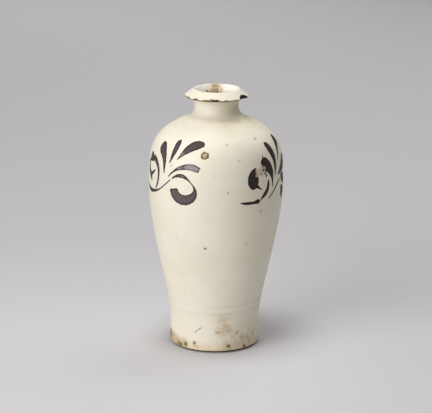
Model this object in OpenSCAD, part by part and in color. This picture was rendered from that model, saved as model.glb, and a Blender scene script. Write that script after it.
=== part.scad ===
// Meiping vase: stoneware thrown in three sections, luted together, dipped in
// white slip and glaze, and painted with three brushed sprigs on the shoulder.
// Millimetres. The origin is the centre of the resting face, +Z is up, and the
// front, between the two sprigs that show together, faces -Y.

/* [Whole vase] */
// Height from the resting face to the crest of the lip
total_h = 230; // [195:0.5:280]
// Widest diameter, over the glaze
belly_d = 118.2; // [100:0.2:142]

/* [Foot] */
// Diameter over the glaze just above the rounded foot edge
foot_d = 79.8; // [68:0.2:92]
// How far the rounded foot edge draws in at the resting face
foot_round_w = 2.6; // [1.5:0.1:4]
// Height of the rounded foot edge
foot_round_h = 4; // [2.5:0.1:6]
// Width of the ring that the vase stands on
foot_ring_w = 7; // [4:0.5:10]
// Depth of the recess turned under the base
base_recess = 4; // [2:0.5:6]
// Height of bare clay left at the foot, below the glaze
bare_foot_h = 2; // [1:0.1:4]

/* [Body line] */
// Narrowest diameter of the lower body, over the glaze
waist_d = 79.1; // [66:0.1:94]
// Height of the narrowest place
waist_z = 24; // [18:0.5:30]
// How far up the wall keeps the waist's upright line
waist_pull = 20.5; // [12:0.5:28]
// How far below the widest place the wall turns upright
belly_pull = 36; // [24:0.5:46]
// Rise from the widest place to where the shoulder would meet the neck
shoulder_h = 64.8; // [50:0.2:78]
// How far above the widest place the shoulder stays upright
shoulder_pull = 38; // [28:0.5:46]
// How far the shoulder keeps its slope below the neck
slope_pull = 36.7; // [26:0.5:42]
// Slope of the shoulder where it reaches the neck, from the level
shoulder_slope = 25; // [18:0.5:32]

/* [Neck and lip] */
// Outside diameter of the neck
neck_d = 38.4; // [33:0.2:46]
// Radius of the sweep from the shoulder into the neck
neck_sweep_r = 10; // [6:0.2:13]
// Height from the foot of the neck to the crest of the lip
neck_h = 21.7; // [18:0.1:28]
// Diameter of the lip at its outer edge
lip_d = 55.4; // [50:0.2:66]
// Diameter of the crest, where the mouth starts
crest_d = 40; // [38:0.2:46]
// Fall of the cone from the crest to the lip's edge
lip_fall = 5.2; // [3.5:0.1:7]
// Thickness of the lip's outer edge
lip_edge_t = 1.8; // [1.2:0.1:3]
// Bore of the throat, inside the glaze
throat_d = 31; // [24:0.2:32]
// Depth of the funnel from the crest to the throat
mouth_depth = 9; // [6:0.5:11]
// How far the glaze runs down inside the mouth
glaze_in = 13.5; // [12:0.5:15]

/* [Clay and glaze] */
// Wall of the body at the foot
foot_wall = 7.5; // [5:0.1:9]
// Thickness of the floor inside the base
floor_t = 8; // [5:0.5:12]
// Radius of the hollow's corner at the floor
hollow_corner_r = 14; // [8:0.5:18]
// Thickness of the white slip with its glaze
glaze_t = 0.4; // [0.25:0.05:0.7]

/* [Luted seams] */
// Height of the seam between the two body sections, at the skin
body_seam_z = 98; // [70:1:102]
// How far one section's tongue laps the other in a seam
seam_lap = 3; // [1.5:0.25:4]
// Thickness of the clay slip that lutes a seam
lute_t = 0.6; // [0.4:0.1:1]
// Radius of the smoothed bead along a seam inside
bead_r = 2.2; // [1.2:0.1:3]

/* [Brushed sprigs] */
// Directions of the left, right and back sprigs, from the front
sprig_turns = [-46, 64, 189]; // [-180:1:200]
// Height of the sprigs' roots above the widest place
sprig_rise = 16.5; // [10:0.5:22]
// Scale of the sprigs across and up
sprig_scale = 1; // [0.8:0.05:1.1]
// Thickness of the brushed pigment
paint_t = 0.15; // [0.1:0.01:0.3]
// Clearance of the pigment from the glaze under it
paint_gap = 0.05; // [0.03:0.01:0.1]

/* [Chips and flakes] */
// Directions of the four lip chips, from the front
chip_turns = [60, -2, -40, -62]; // [-180:1:180]
// Radii of the chips' scoops
chip_radii = [9, 11, 4, 6]; // [2:0.5:12]
// Depths of the chips, in from the lip's edge
chip_depths = [3.8, 1.2, 1.1, 0.8]; // [0.3:0.1:4.2]
// How far the chips' scoops lie below the lip's edge
chip_drops = [1.2, 0.9, 1, 1.2]; // [0:0.1:2]
// Direction of the spot where the glaze has flaked off, from the front
flake_turn = -10.9; // [-180:0.1:180]
// Height of the flaked spot above the widest place
flake_rise = 39.4; // [15:0.2:42]
// Width of the flaked spot
flake_w = 7.6; // [4:0.2:10]

/* [Hidden] */
$fn = 96;
clay_colour = "#8a7862";
lute_colour = "#6f6353";
glaze_colour = "#e9e4d3";
pigment_colour = "#3c3234";
curve_steps = 14;
lip_steps = 6;
arc_step = 15;
// Form of the lip: where its flare leaves the neck, the reach of its flat underside, its roundings
flare_start = 2;
flare_drop = 1;
lip_flat_w = 5;
edge_round = 0.5;
crest_round_w = 0.7;
crest_round_h = 0.35;
funnel_pull = 3;
// Slant of the wall of the recess under the base
recess_slant = 1.5;
foot_r = foot_d / 2;
waist_r = waist_d / 2;
belly_r = belly_d / 2;
neck_r = neck_d / 2;
lip_r = lip_d / 2;
crest_r = crest_d / 2;
throat_r = throat_d / 2;
neck_foot_z = total_h - neck_h;
belly_z = neck_foot_z - shoulder_h;
lip_edge_z = total_h - lip_fall;
lip_under_z = lip_edge_z - lip_edge_t;
hollow_floor_z = base_recess + floor_t;
clay_throat_r = throat_r + glaze_t;
neck_wall = neck_r - clay_throat_r;
foot_inner_r = foot_r - foot_round_w - foot_ring_w;

// The neck's sweep is an arc tangent to the shoulder's slope and to the upright neck
sweep_tangent = neck_sweep_r * tan((90 - shoulder_slope) / 2);
sweep_top_z = neck_foot_z + sweep_tangent;
sweep_start = [neck_r + sweep_tangent * cos(shoulder_slope),
               neck_foot_z - sweep_tangent * sin(shoulder_slope)];

// A cubic curve through four handles, without its first point when joined to another
function cubic(a, b, c, d, steps, first = 0) = [for (i = [first:steps])
    let (t = i / steps, u = 1 - t) u * u * u * a + 3 * u * u * t * b + 3 * u * t * t * c + t * t * t * d];

// A quarter of an ellipse from the resting face up to the upright wall
function foot_edge(r) = [for (a = [0:arc_step:90])
    [r - foot_round_w * (1 - sin(a)), foot_round_h * (1 - cos(a))]];

lower_curve = cubic([waist_r, waist_z], [waist_r, waist_z + waist_pull],
                    [belly_r, belly_z - belly_pull], [belly_r, belly_z], curve_steps);
shoulder_curve = cubic([belly_r, belly_z], [belly_r, belly_z + shoulder_pull],
                       sweep_start + slope_pull * [cos(shoulder_slope), -sin(shoulder_slope)],
                       sweep_start, curve_steps, 1);
neck_sweep = [for (a = [90 - shoulder_slope - arc_step:-arc_step:1])
    [neck_r + neck_sweep_r * (1 - cos(a)), sweep_top_z - neck_sweep_r * sin(a)]];
neck_top = [neck_r, sweep_top_z];
lip_under = cubic([neck_r, sweep_top_z + flare_start], [neck_r, lip_under_z - flare_drop],
                  [lip_r - lip_flat_w, lip_under_z], [lip_r - edge_round, lip_under_z], lip_steps);
lip_edge = [[lip_r, lip_under_z + edge_round], [lip_r, lip_edge_z - edge_round / 2],
            [lip_r - edge_round, lip_edge_z + edge_round * lip_fall / (lip_r - crest_r) / 2]];
crest = [[crest_r + crest_round_w, total_h - crest_round_h], [crest_r, total_h],
         [crest_r - crest_round_w, total_h - crest_round_h]];
throat_top = [throat_r, total_h - mouth_depth];
funnel = cubic(crest[2], crest[1] - [funnel_pull, funnel_pull], throat_top + [0, funnel_pull],
               throat_top, lip_steps, 1);
glaze_end = [throat_r, total_h - glaze_in];

// The finished skin, from the waist up over the lip and down the throat
body_skin = concat(lower_curve, shoulder_curve, neck_sweep, [neck_top]);
upper_skin = concat(body_skin, lip_under, lip_edge, crest, funnel, [glaze_end]);
skin = concat(foot_edge(foot_r), upper_skin);

// Outward normal of a stretch, and a line set in from another by a depth at each point
function stretch_normal(a, b) = [b.y - a.y, a.x - b.x] / norm(b - a);
function mitre(line, i) =
    let (last = len(line) - 1,
         before = stretch_normal(line[max(i, 1) - 1], line[max(i, 1)]),
         after = stretch_normal(line[min(i, last - 1)], line[min(i, last - 1) + 1]))
    (before + after) / (1 + before * after);
function set_in(line, depths) = [for (i = [0:len(line) - 1]) line[i] - depths[i] * mitre(line, i)];
function wall_at(z) = glaze_t + lookup(z, [[waist_z, foot_wall], [sweep_top_z, neck_wall]]);

clay_line = concat(foot_edge(foot_r - glaze_t), set_in(upper_skin, [for (p = upper_skin) glaze_t]));
// The hollow's wall; above the neck's foot it is the bare throat under the funnel's glaze
wall_depths = [for (p = body_skin) wall_at(p.y) - (p.y > neck_foot_z ? glaze_t : 0)];
hollow_wall = [for (p = set_in(body_skin, wall_depths)) if (p.y > hollow_floor_z + hollow_corner_r) p];
hollow_corner = [for (a = [0:arc_step:75])
    [hollow_wall[0].x - hollow_corner_r * (1 - sin(a)), hollow_floor_z + hollow_corner_r * (1 - cos(a))]];
hollow_line = concat([[0, hollow_floor_z]], hollow_corner, hollow_wall);
base_line = [[0, base_recess], [foot_inner_r - recess_slant, base_recess], [foot_inner_r, 0]];

function backwards(line) = [for (i = [len(line) - 1:-1:0]) line[i]];

// Radius and outward normal of the skin at a height, for what is set on the body
skin_by_height = [for (p = concat([[foot_r, foot_round_h]], body_skin)) [p.y, p.x]];
function skin_r(z) = lookup(z, skin_by_height);
function skin_normal(z) = stretch_normal([skin_r(z - 0.5), z - 0.5], [skin_r(z + 0.5), z + 0.5]);

module clay_section() polygon(concat(base_line, clay_line, backwards(hollow_line)));

// Everything above a lapped seam: the outer half starts at the seam, and the
// inner half higher by the lap, so that the lower piece's tongue centres the upper
module above_seam(p, normal, wall, gap) {
    reach = total_h;
    translate(p)
        rotate(atan2(normal.y, normal.x))
            polygon([[reach, gap], [-wall / 2 + gap, gap], [-wall / 2 + gap, seam_lap + gap],
                     [-reach, seam_lap + gap], [-reach, reach], [reach, reach]]);
}

body_seam_p = [skin_r(body_seam_z), body_seam_z];
body_seam_n = skin_normal(body_seam_z);
body_seam_wall = wall_at(body_seam_z);
neck_seam_p = sweep_start;
neck_seam_n = [sin(shoulder_slope), cos(shoulder_slope)];
neck_seam_wall = wall_at(sweep_start.y);

module above_body_seam(gap) above_seam(body_seam_p, body_seam_n, body_seam_wall, gap);
module above_neck_seam(gap) above_seam(neck_seam_p, neck_seam_n, neck_seam_wall, gap);

module lower_section() difference() {
    clay_section();
    above_body_seam(-lute_t / 2);
}

module upper_section() difference() {
    intersection() {
        clay_section();
        above_body_seam(lute_t / 2);
    }
    above_neck_seam(-lute_t / 2);
}

module neck_section() intersection() {
    clay_section();
    above_neck_seam(lute_t / 2);
}

// The slip between two sections, and the bead that was smoothed along it inside
module lute_strip(p, normal, wall) {
    inner = -wall / 2 - lute_t / 2;
    outer = -wall / 2 + lute_t / 2;
    intersection() {
        clay_section();
        translate(p)
            rotate(atan2(normal.y, normal.x))
                polygon([[wall, -lute_t / 2], [inner, -lute_t / 2], [inner, seam_lap - lute_t / 2],
                         [-2 * wall, seam_lap - lute_t / 2], [-2 * wall, seam_lap + lute_t / 2],
                         [outer, seam_lap + lute_t / 2], [outer, lute_t / 2], [wall, lute_t / 2]]);
    }
}

module lute_bead(p, normal, wall) {
    along = [-normal.y, normal.x];
    difference() {
        translate(p - wall * normal + seam_lap * along)
            circle(r = bead_r, $fn = 32);
        clay_section();
    }
}

module lute(p, normal, wall) color(lute_colour) {
    rotate_extrude()
        lute_strip(p, normal, wall);
    rotate_extrude()
        lute_bead(p, normal, wall);
}

module glaze_section() intersection() {
    polygon(concat(skin, backwards(clay_line)));
    translate([0, bare_foot_h])
        square([belly_r + lip_r, total_h]);
}

module chip_scoops() for (i = [0:len(chip_turns) - 1])
    rotate(chip_turns[i] - 90)
        translate([lip_r + chip_radii[i] - chip_depths[i], 0, lip_edge_z - chip_drops[i]])
            sphere(r = chip_radii[i]);

// The flaked spot goes right through the glaze, to the clay, and widens outwards
module flake_scoop() {
    z = belly_z + flake_rise;
    n = skin_normal(z);
    depth = 2 * glaze_t;
    radius = (flake_w * flake_w / 4 + depth * depth) / (2 * depth);
    rotate(flake_turn - 90)
        translate([skin_r(z) + n.x * (radius - depth), 0, z + n.y * (radius - depth)])
            sphere(r = radius);
}

// Strokes are drawn on the unrolled skin: across and up from the sprig's root, and half the width
petals_left = [
    [[-14.2, 28.2, 0.8], [-13, 25.2, 4.1], [-9.6, 21.8, 4.2], [-6, 17.5, 3.1], [-4.3, 12.5, 2.1],
     [-3.7, 7.4, 1.2], [-3.6, 2.8, 0.4]],
    [[5.9, 31.8, 1.8], [6.4, 29.4, 3], [6.1, 26, 3], [5.2, 21.6, 2.3], [3.8, 16.8, 1.2],
     [2.2, 12.6, 0.3]],
    [[10.4, 16.6, 0.3], [14.4, 21.2, 1.6], [19, 25.6, 3.2], [24.4, 28.6, 3.6], [29.6, 29.9, 3.1],
     [33.6, 30.3, 2.1], [35.8, 30.1, 1.1]],
    [[2, 1, 0.5], [8.2, 6.8, 0.8], [15, 10.3, 1.8], [22.5, 12, 2.6], [28.5, 11.4, 2.8],
     [32.8, 9.7, 2.4]]
];
scroll_left = [
    [6.4, 0, 0.5], [11.8, 3.2, 1.3], [18, 3.4, 1.8], [22.4, 1.2, 0.9], [25.6, -1.8, 0.5],
    [28.6, -5.4, 0.9], [29.2, -10, 2.2], [26.2, -14.6, 3.8], [20.4, -17.2, 4.5],
    [14.2, -16.4, 4.6], [10, -13, 4.6], [8.6, -8.4, 4.2]
];
leaf_left = [
    [[-29.8, 16.8, 1], [-28.4, 13.8, 4], [-27.2, 10.8, 5.6], [-26.8, 8.8, 5.8]],
    [[-33, 9.6, 1.8], [-33.4, 6, 1.8], [-33, 2.4, 2], [-31, -0.8, 2.8], [-27.4, -3.4, 2.8],
     [-24.6, -8.2, 0.7]],
    [[-22.4, 14.4, 1.6], [-17.6, 11.4, 2.4], [-13.8, 8, 1.9], [-11.8, 4, 1.5], [-11.6, -1.6, 1.2],
     [-13.2, -8, 1.1], [-16.2, -13, 0.7]],
    [[-25.6, -2.4, 1.6], [-21.4, 0.4, 1.3], [-17.2, 3.4, 0.4]],
    [[-36.4, -13, 1], [-33, -15.2, 1.8], [-26, -16.6, 1.9], [-19, -15.6, 1.3], [-12, -13.6, 0.8],
     [-4.2, -8.6, 0.5], [2.2, -3.4, 0.5], [4.6, -1.4, 0.4]]
];
petals_right = [
    [[-21.6, 16.2, 2], [-19.2, 14, 4.7], [-15.8, 11, 4.9], [-12.6, 7.6, 4.2], [-10, 3.4, 3],
     [-8.6, -2, 1.4], [-8.1, -9.8, 0.4]],
    [[-11.6, 27.6, 1.4], [-8.8, 26, 3.2], [-6.6, 22.8, 3.6], [-4.8, 18.6, 3.3], [-3.3, 13, 2.5],
     [-3, 6.6, 1.6], [-3.8, -0.4, 0.4]],
    [[16.6, 31.2, 1.2], [15.2, 28.6, 3.6], [11.6, 25.6, 3.5], [8.4, 21.8, 2.3], [5.9, 17, 1.3],
     [3.2, 11.2, 0.4]],
    [[21, 14.4, 2], [19.6, 10.8, 5.2], [15.2, 6.6, 5.2], [8, 2.6, 2.8], [2, -0.8, 0.8]]
];
scroll_right = [
    [[-28.6, 9.8, 1], [-31, 7, 3.2], [-31.8, 3, 5.3], [-31.8, -1.4, 5.6], [-31.8, -5.4, 4.4],
     [-31.8, -8.4, 1.2]],
    [[-28, -5.8, 1.7], [-25.2, -7.8, 0.8], [-22.5, -9.5, 0.3]],
    [[-14.5, -2, 0.7], [-14.4, -6, 1.5], [-15.8, -10.8, 1.9], [-18.9, -14.2, 1.9], [-21.8, -16.6, 1.1],
     [-23.6, -18.2, 0.7]],
    [[-24.4, -19.2, 0.8], [-26.4, -19.2, 2.1], [-29, -19.4, 1.8], [-32, -19.9, 1.2], [-39, -19.7, 1.3],
     [-44.3, -18.9, 0.4]]
];
leaf_right = [
    [[10.8, 0, 1.2], [11.8, -4, 4], [18.4, -8.4, 3.4], [23.2, -13.4, 1.4], [22.4, -20.4, 1.4]],
    [[9, -12.4, 1.4], [11.6, -15, 3.8], [13, -18.4, 4.6], [13.2, -21.6, 3.2], [12.8, -24.8, 0.8]],
    [[5.4, -5, 0.9], [-0.6, -8.9, 0.9], [-5.6, -13, 0.8], [-13.6, -18.9, 0.6]]
];
stroke_steps = 2;
stroke_columns = 4;

// A smooth line through points, by the usual four-point blend
function blend(a, b, c, d, t) = 0.5 * (2 * b + (c - a) * t + (2 * a - 5 * b + 4 * c - d) * t * t
    + (3 * b - a - 3 * c + d) * t * t * t);
function smooth_line(p, steps) =
    let (last = len(p) - 1)
    [for (i = [0:last - 1]) for (k = [0:steps - (i == last - 1 ? 0 : 1)])
        blend(p[max(i - 1, 0)], p[i], p[i + 1], p[min(i + 2, last)], k / steps)];

// A place on the vase from a place on the unrolled skin, at a height off the skin
function on_skin(x, y, off) =
    let (z = belly_z + sprig_rise + sprig_scale * y, n = skin_normal(z),
         a = sprig_scale * x / belly_r * 180 / PI, r = skin_r(z) + off * n.x)
    [r * sin(a), -r * cos(a), z + off * n.y];

// One brush stroke: a slab that follows the skin, thinner towards its two sides
module stroke(points) {
    line = smooth_line(points, stroke_steps);
    last = len(line) - 1;
    row = stroke_columns + 1;
    sides = [for (i = [0:last])
        let (d = line[min(i + 1, last)] - line[max(i - 1, 0)]) [-d.y, d.x] / norm([d.x, d.y])];
    function layer(under) = [for (i = [0:last]) for (k = [0:stroke_columns])
        let (s = 2 * k / stroke_columns - 1,
             off = paint_gap + (under ? 0 : paint_t * (1 - 0.5 * s * s)))
        on_skin(line[i].x + s * line[i].z * sides[i].x, line[i].y + s * line[i].z * sides[i].y, off)];
    n = row * (last + 1);
    // The lower layer's corners follow the upper layer's in the list
    upper = [for (i = [0:last - 1]) for (k = [0:stroke_columns - 1])
        let (a = i * row + k, b = a + row) each [[a, a + 1, b], [a + 1, b + 1, b]]];
    lower = [for (f = upper) [f[2] + n, f[1] + n, f[0] + n]];
    edge = concat([for (k = [0:stroke_columns - 1]) [k + 1, k]],
                  [for (i = [0:last - 1]) [i * row, (i + 1) * row]],
                  [for (k = [0:stroke_columns - 1]) [last * row + k, last * row + k + 1]],
                  [for (i = [0:last - 1]) [(i + 1) * row + stroke_columns, i * row + stroke_columns]]);
    rim = [for (e = edge) each [[e[0], e[1], e[0] + n], [e[1], e[1] + n, e[0] + n]]];
    polyhedron(concat(layer(false), layer(true)), concat(upper, lower, rim));
}

module sprig(strokes, turn) color(pigment_colour)
    rotate(turn)
        for (s = strokes)
            stroke(s);

strokes_left = concat(petals_left, [scroll_left], leaf_left);
strokes_right = concat(petals_right, scroll_right, leaf_right);

module lower_body() color(clay_colour)
    rotate_extrude()
        lower_section();

module upper_body() color(clay_colour)
    rotate_extrude()
        upper_section();

module neck_and_lip() color(clay_colour) difference() {
    rotate_extrude()
        neck_section();
    chip_scoops();
}

module body_seam_lute() lute(body_seam_p, body_seam_n, body_seam_wall);
module neck_seam_lute() lute(neck_seam_p, neck_seam_n, neck_seam_wall);

module slip_and_glaze() color(glaze_colour) difference() {
    rotate_extrude()
        glaze_section();
    chip_scoops();
    flake_scoop();
}

module sprig_left() sprig(strokes_left, sprig_turns[0]);
module sprig_right() sprig(strokes_right, sprig_turns[1]);
module sprig_back() sprig(strokes_left, sprig_turns[2]);

lower_body();
upper_body();
neck_and_lip();
body_seam_lute();
neck_seam_lute();
slip_and_glaze();
sprig_left();
sprig_right();
sprig_back();
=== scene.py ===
"""Looks of a meiping vase: cream glaze over stoneware, brushed sprigs, and wear at lip and foot.

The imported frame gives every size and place. Lengths are in metres, so a length that is written here
in millimetres is multiplied by MM. A direction is an azimuth in degrees: 0 faces the viewer in
front, at -Y, and it grows towards +X, on the viewer's right.
"""

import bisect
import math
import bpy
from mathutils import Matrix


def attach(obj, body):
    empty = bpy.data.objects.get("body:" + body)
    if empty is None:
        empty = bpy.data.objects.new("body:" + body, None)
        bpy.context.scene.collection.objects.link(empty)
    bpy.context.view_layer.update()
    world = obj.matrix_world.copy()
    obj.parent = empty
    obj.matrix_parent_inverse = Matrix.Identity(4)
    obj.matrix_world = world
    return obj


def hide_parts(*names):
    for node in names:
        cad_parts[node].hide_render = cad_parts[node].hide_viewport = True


bl_info = {
    "name": "Meiping vase finisher",
    "version": (1, 0, 0),
    "blender": (4, 5, 0),
    "location": "View3D > Sidebar > Vase",
    "description": "Glazes, paints and ages a thrown meiping vase around its packed frame",
    "category": "Add Mesh",
}

import bmesh
import bpy
from bpy.props import FloatProperty, FloatVectorProperty, IntProperty, PointerProperty
from mathutils import Matrix, Vector, kdtree, noise

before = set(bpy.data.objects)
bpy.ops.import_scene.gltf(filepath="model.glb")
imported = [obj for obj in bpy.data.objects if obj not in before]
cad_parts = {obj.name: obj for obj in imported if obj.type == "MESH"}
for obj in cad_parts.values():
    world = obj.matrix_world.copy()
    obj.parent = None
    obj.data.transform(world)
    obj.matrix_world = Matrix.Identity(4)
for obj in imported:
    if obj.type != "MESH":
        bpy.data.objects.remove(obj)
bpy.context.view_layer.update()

MM = 0.001
WELD = 0.001 * MM
BODY = "root"
SPRIGS = ("sprig_left", "sprig_right", "sprig_back")

# The chips in the lip, as the imported lip has them: azimuth, radius of the scoop, how deep it cuts
# in from the lip's edge, how far its middle lies below the edge, and how strongly painted shade
# darkens the clay in it
LIP_CHIPS = ((60, 9, 3.8, 1.2, 1), (-2, 11, 1.2, 0.9, 0.5), (-40, 4, 1.1, 1, 0.35),
             (-62, 6, 0.8, 1.2, 0.35))
# How far the lip's edge lies below its crest, and how thick it is
LIP_FALL = 5.2 * MM
LIP_EDGE_T = 1.8 * MM
# The spot where the glaze has flaked off: azimuth, height, width and depth
FLAKE_TURN = -10.3
FLAKE_Z = 182.4 * MM
FLAKE_W = 7 * MM
FLAKE_DEPTH = 0.34 * MM


class VaseGlazeSettings(bpy.types.PropertyGroup):
    """The white slip and its clear glaze"""
    colour: FloatVectorProperty(
        name="Glaze colour", description="Colour of the glaze where it is thick and clean",
        subtype="COLOR", size=3, min=0, max=1, default=(0.845, 0.8, 0.665))
    thin_colour: FloatVectorProperty(
        name="Thin colour", description="Colour where the glaze is thin over the clay",
        subtype="COLOR", size=3, min=0, max=1, default=(0.74, 0.66, 0.5))
    stain_colour: FloatVectorProperty(
        name="Stain colour", description="Colour of the brown streaks in the mouth",
        subtype="COLOR", size=3, min=0, max=1, default=(0.2, 0.125, 0.055))
    roughness: FloatProperty(
        name="Roughness", description="Roughness of the fired glaze",
        min=0, max=1, default=0.48)
    ring_depth: FloatProperty(
        name="Ring depth", description="Depth of the rings that the thrower's fingers left",
        subtype="DISTANCE", unit="LENGTH", min=0, max=0.0005, precision=5, default=0.000022)
    unevenness: FloatProperty(
        name="Unevenness", description="How far the skin wanders off its true line",
        subtype="DISTANCE", unit="LENGTH", min=0, max=0.0005, precision=5, default=0.00009)
    steps: IntProperty(
        name="Steps round", description="Divisions of the glaze round the vase",
        min=48, max=400, default=288)


class VaseClaySettings(bpy.types.PropertyGroup):
    """The stoneware body"""
    colour: FloatVectorProperty(
        name="Clay colour", description="Colour of the fired clay",
        subtype="COLOR", size=3, min=0, max=1, default=(0.33, 0.25, 0.17))
    burnt_colour: FloatVectorProperty(
        name="Burnt colour", description="Colour of the clay where the kiln burnt it",
        subtype="COLOR", size=3, min=0, max=1, default=(0.05, 0.03, 0.022))
    slip_colour: FloatVectorProperty(
        name="Lute colour", description="Colour of the slip that lutes the seams",
        subtype="COLOR", size=3, min=0, max=1, default=(0.24, 0.18, 0.12))
    groove_depth: FloatProperty(
        name="Groove depth", description="Depth of the turning tool's grooves in the base",
        subtype="DISTANCE", unit="LENGTH", min=0, max=0.001, precision=5, default=0.00016)
    steps: IntProperty(
        name="Steps round", description="Divisions of the foot round the vase",
        min=48, max=400, default=240)


class VasePaintSettings(bpy.types.PropertyGroup):
    """The brushed iron pigment"""
    colour: FloatVectorProperty(
        name="Pigment colour", description="Colour of the pigment where the brush laid it thick",
        subtype="COLOR", size=3, min=0, max=1, default=(0.024, 0.016, 0.011))
    thin_colour: FloatVectorProperty(
        name="Thin colour", description="Colour of the pigment where the brush ran dry",
        subtype="COLOR", size=3, min=0, max=1, default=(0.038, 0.028, 0.032))
    pale_colour: FloatVectorProperty(
        name="Pale colour", description="Colour of the palest petal",
        subtype="COLOR", size=3, min=0, max=1, default=(0.33, 0.285, 0.285))
    thickness: FloatProperty(
        name="Thickness", description="Thickness of the pigment in the middle of a stroke",
        subtype="DISTANCE", unit="LENGTH", min=0, max=0.0004, precision=5, default=0.0001)
    cuts: IntProperty(
        name="Cuts", description="Times that each edge of the packed strokes is cut",
        min=0, max=6, default=3)


class VaseStageSettings(bpy.types.PropertyGroup):
    """Floor, light and camera"""
    # The floor's two colours hold a pool of painted light: pale in front of the vase, darker behind
    # it
    floor_colour: FloatVectorProperty(
        name="Floor colour", description="Colour of the floor in front of the vase",
        subtype="COLOR", size=3, min=0, max=1, default=(0.665, 0.65, 0.67))
    far_floor_colour: FloatVectorProperty(
        name="Far floor colour", description="Colour of the floor behind the vase",
        subtype="COLOR", size=3, min=0, max=1, default=(0.548, 0.536, 0.553))
    camera_height: FloatProperty(
        name="Camera height", description="Height of the camera above the floor",
        subtype="DISTANCE", unit="LENGTH", min=0, max=3, default=0.55474)
    camera_distance: FloatProperty(
        name="Camera distance", description="Distance of the camera in front of the vase's axis",
        subtype="DISTANCE", unit="LENGTH", min=0.3, max=5, default=1.6)


def settings():
    """The scene's settings for this vase"""
    return bpy.context.scene.vase_finish


# Outlines of the turned pieces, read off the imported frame

def cut_at_side(name):
    """The line in which a half plane at +X, where turned surfaces have their seams, cuts a node"""
    form = bmesh.new()
    form.from_mesh(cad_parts[name].data)
    bmesh.ops.remove_doubles(form, verts=form.verts, dist=WELD)
    everything = form.verts[:] + form.edges[:] + form.faces[:]
    bmesh.ops.bisect_plane(form, geom=everything, dist=WELD, plane_no=(0, 1, 0),
                           clear_inner=True, clear_outer=True)
    beyond = [v for v in form.verts if v.co.x < -WELD]
    bmesh.ops.delete(form, geom=beyond, context="VERTS")
    bmesh.ops.remove_doubles(form, verts=form.verts, dist=5 * WELD)
    return form


def outline(name):
    """The corners of a turned node's outline, as (radius, height), up from its foot's outer edge

    An outline that meets the axis starts at its lower end there instead."""
    form = cut_at_side(name)
    ends = [v for v in form.verts if len(v.link_edges) == 1]
    crowded = [v for v in form.verts if len(v.link_edges) not in (1, 2)]
    if crowded or len(ends) not in (0, 2):
        raise RuntimeError(f"the outline of {name} is not one line")
    lowest = min(v.co.z for v in form.verts)
    bottom = [v for v in form.verts if v.co.z < lowest + 0.01 * MM]
    here = min(ends, key=lambda v: v.co.z) if ends else max(bottom, key=lambda v: v.co.x)
    passed = {here}
    corners = []
    while here:
        corners.append(Vector((here.co.x, here.co.z)))
        onward = [e.other_vert(here) for e in here.link_edges]
        onward = [v for v in onward if v not in passed]
        here = max(onward, key=lambda v: v.co.z) if onward else None
        passed.add(here)
    form.free()
    return corners


def turn_at(corners, i):
    """The angle, in degrees, by which a line of corners turns at one of them"""
    before, after = corners[i] - corners[i - 1], corners[i + 1] - corners[i]
    return math.degrees(before.angle(after))


def true_corners(corners, longest_facet=11 * MM):
    """The corners without the points that only divide a short straight facet"""
    kept = [0]
    last = len(corners) - 1
    turns = [i for i in range(1, last) if turn_at(corners, i) > 0.2]
    for turn in turns + [last]:
        if (corners[turn] - corners[kept[-1]]).length > longest_facet:
            kept += range(kept[-1] + 1, turn)
        kept.append(turn)
    return [corners[i] for i in kept]


def fair_line(corners, gap, crease=50, uneven=3):
    """Points gap(place) apart on a smooth line through corners, which turns sharply at a crease

    Where one leg is much longer than the next, it is a straight one, and the line follows it."""
    corners = true_corners(corners)
    last = len(corners) - 1
    legs = [corners[i + 1] - corners[i] for i in range(last)]

    def heading(i, leg):
        if i in (0, last) or turn_at(corners, i) > crease:
            return legs[leg].normalized()
        before, after = legs[i - 1], legs[i]
        if before.length > uneven * after.length:
            return before.normalized()
        if after.length > uneven * before.length:
            return after.normalized()
        blend = before.normalized() * after.length + after.normalized() * before.length
        return blend.normalized()

    line = []
    for i, leg in enumerate(legs):
        start, end = corners[i], corners[i + 1]
        steps = max(1, round(leg.length / gap((start + end) / 2)))
        out, into = heading(i, i) * leg.length, heading(i + 1, i) * leg.length
        for k in range(steps):
            t = k / steps
            line.append((2 * t**3 - 3 * t**2 + 1) * start + (t**3 - 2 * t**2 + t) * out
                        + (3 * t**2 - 2 * t**3) * end + (t**3 - t**2) * into)
    return line + [corners[last]]


GLAZE_CORNERS = outline("slip_and_glaze")
THROAT_R = min(corner.x for corner in GLAZE_CORNERS)
# The skin ends, down the throat, at the last corner that is as near the axis as the throat
SKIN_END = max(i for i, corner in enumerate(GLAZE_CORNERS) if corner.x < THROAT_R + 0.1 * MM)
SKIN_CORNERS = GLAZE_CORNERS[:SKIN_END + 1]
TOP_Z = max(corner.y for corner in SKIN_CORNERS)
LIP_R = max(corner.x for corner in SKIN_CORNERS if corner.y > TOP_Z - 2 * LIP_FALL)
LIP_EDGE_Z = TOP_Z - LIP_FALL
LIP_UNDER_Z = LIP_EDGE_Z - LIP_EDGE_T


def skin_gap(place):
    """How far apart the skin's rows are: close at the lip and the foot"""
    if place.y > LIP_UNDER_Z - 1 * MM:
        return 0.4 * MM
    return 0.8 * MM if place.y < 8 * MM or place.y > LIP_UNDER_Z - 8 * MM else 1.7 * MM


SKIN_LINE = fair_line(SKIN_CORNERS, skin_gap)
CREST = max(range(len(SKIN_LINE)), key=lambda i: SKIN_LINE[i].y)
OUTER_LINE = SKIN_LINE[:CREST]
MOUTH_LINE = SKIN_LINE[CREST:]
CREST_R = SKIN_LINE[CREST].x
BACK_LINE = fair_line(GLAZE_CORNERS[SKIN_END + 1:], lambda place: 6 * MM)
# The outer wall up to the underside of the lip, where each height has one radius
WALL = [point for point in OUTER_LINE if point.y < LIP_UNDER_Z - 0.5 * MM]
WALL_HEIGHTS = [point.y for point in WALL]
BELLY_R = max(point.x for point in WALL)
# The floor inside the vase, and the radius of the recess in the base
FLOOR_Z = 13 * MM
RECESS_R = 30.5 * MM


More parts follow.
